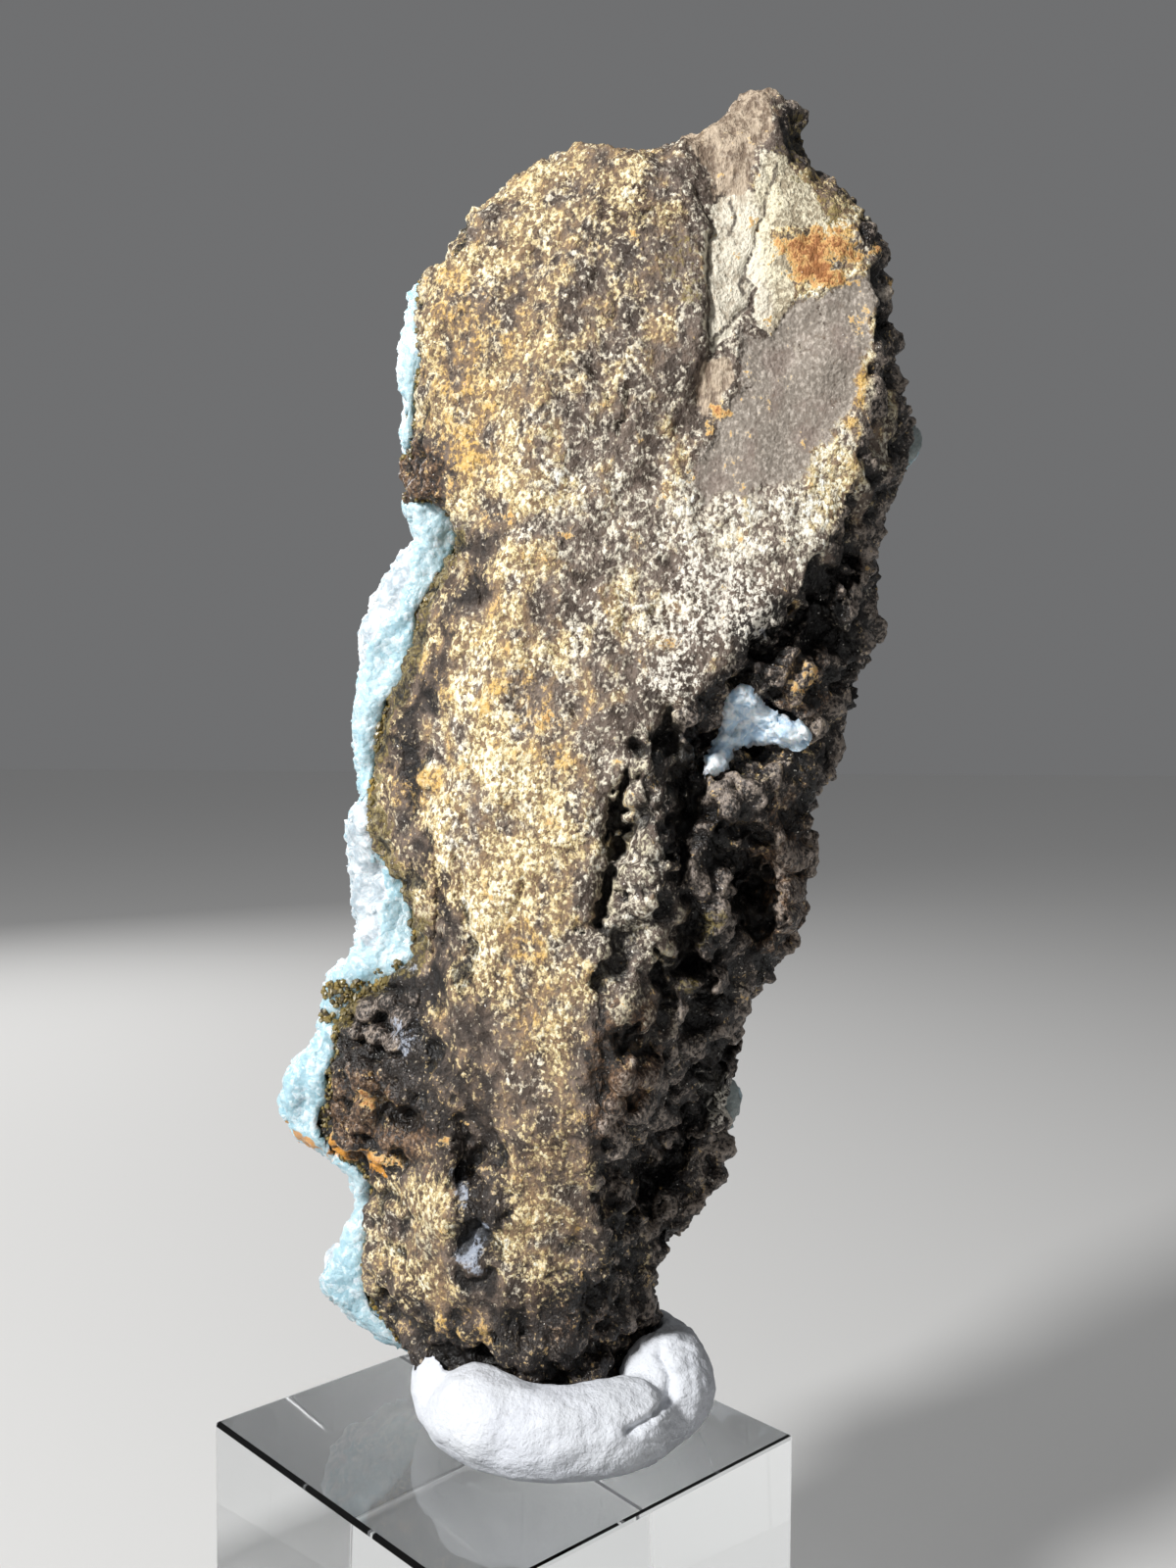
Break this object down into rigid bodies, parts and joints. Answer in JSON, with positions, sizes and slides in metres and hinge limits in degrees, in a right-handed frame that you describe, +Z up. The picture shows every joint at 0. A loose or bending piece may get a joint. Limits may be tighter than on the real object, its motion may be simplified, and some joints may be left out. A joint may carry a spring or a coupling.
{
  "type": "hemimorphite specimen on a stand",
  "caption": "Leaning slab of brown limonite with a pale blue lobed hemimorphite crust on its far face, set upright in a ring of putty on a clear acrylic block.",
  "frame": {"origin": "middle of the acrylic block's underside", "axes": "+Z up along the specimen, -Y out of the rock's bare face, so the crust faces +Y"},
  "size_m": [0.0873, 0.0702, 0.2122],
  "materials": {
    "limonite": "rough, earthy, with bright grains",
    "hemimorphite": "silky and slightly translucent",
    "putty": "matt, kneaded by hand",
    "acrylic": "polished and clear"
  },
  "bodies": {
    "root": {"matrix_rock": "limonite", "hemimorphite_crust": "hemimorphite", "hemimorphite_pocket": "hemimorphite", "putty_ring": "putty", "acrylic_block": "acrylic"}
  },
  "joints": []
}
